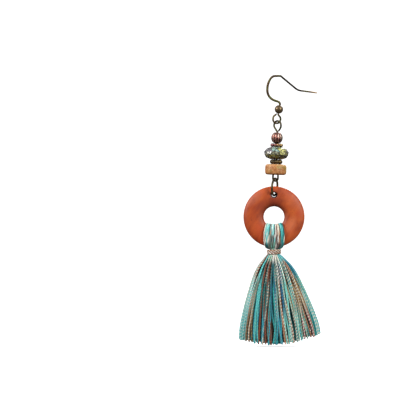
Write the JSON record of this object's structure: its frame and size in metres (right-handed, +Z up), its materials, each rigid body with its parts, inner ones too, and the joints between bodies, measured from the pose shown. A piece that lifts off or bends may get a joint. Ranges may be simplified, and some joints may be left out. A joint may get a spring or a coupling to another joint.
{
  "type": "tassel earring",
  "caption": "Drop earring with a wire ear hook, a string of metal, glass and wooden beads, and a stained wooden ring that carries a long multicoloured thread tassel.",
  "frame": {"origin": "top of the ear hook's bend, where the wire hangs in the ear lobe, at the inner side of the wire", "axes": "+X to the viewer's right in the earring's broad face, +Y away from the viewer, +Z up"},
  "size_m": [0.0333, 0.02, 0.11],
  "materials": {
    "antique_bronze": "dark antique bronze, worn brighter on the high sides",
    "antique_copper": "antique copper with dark wine-brown flutes",
    "worn_copper": "copper-gold grains, dark between them",
    "dark_bronze": "dark brown bronze",
    "picture_glass": "opaque faceted glass with brown, cream, turquoise and yellow-green facets",
    "pale_wood": "orange-tan wood, satin",
    "red_wood": "burnt orange stain, satin",
    "aqua_thread": "twisted thread in cream, pale aqua, grey and teal",
    "pink_beige_thread": "twisted beige-copper thread",
    "teal_thread": "twisted thread in turquoise, teal, cream, tan and rust brown"
  },
  "bodies": {
    "hook": {"ear_hook": "antique_bronze", "hook_ball": "antique_bronze"},
    "drop": {"eye_pin": "dark_bronze", "copper_bead": "antique_copper", "upper_spacer": "worn_copper", "glass_bead": "picture_glass", "lower_spacer": "dark_bronze", "wood_bead": "pale_wood"},
    "link": {"jump_ring": "dark_bronze"},
    "pendant": {"wood_ring": "red_wood", "tassel_band": "aqua_thread", "tassel_tie": "pink_beige_thread", "tassel_skirt": "teal_thread"}
  },
  "joints": [
    {"name": "drop_swing", "type": "hinge", "parent": "hook", "child": "drop", "pos_m": [-0.00055, 0.00013, -0.01898], "axis": [0.9168, 0.3993, 0], "range_deg": [-45, 45]},
    {"name": "link_swing", "type": "hinge", "parent": "drop", "child": "link", "pos_m": [-0.00109, 0, -0.04252], "axis": [0.9397, -0.342, 0], "range_deg": [-40, 40]},
    {"name": "pendant_swing", "type": "hinge", "parent": "link", "child": "pendant", "pos_m": [-0.00164, 0, -0.04814], "axis": [0, 1, 0], "range_deg": [-40, 40]}
  ]
}
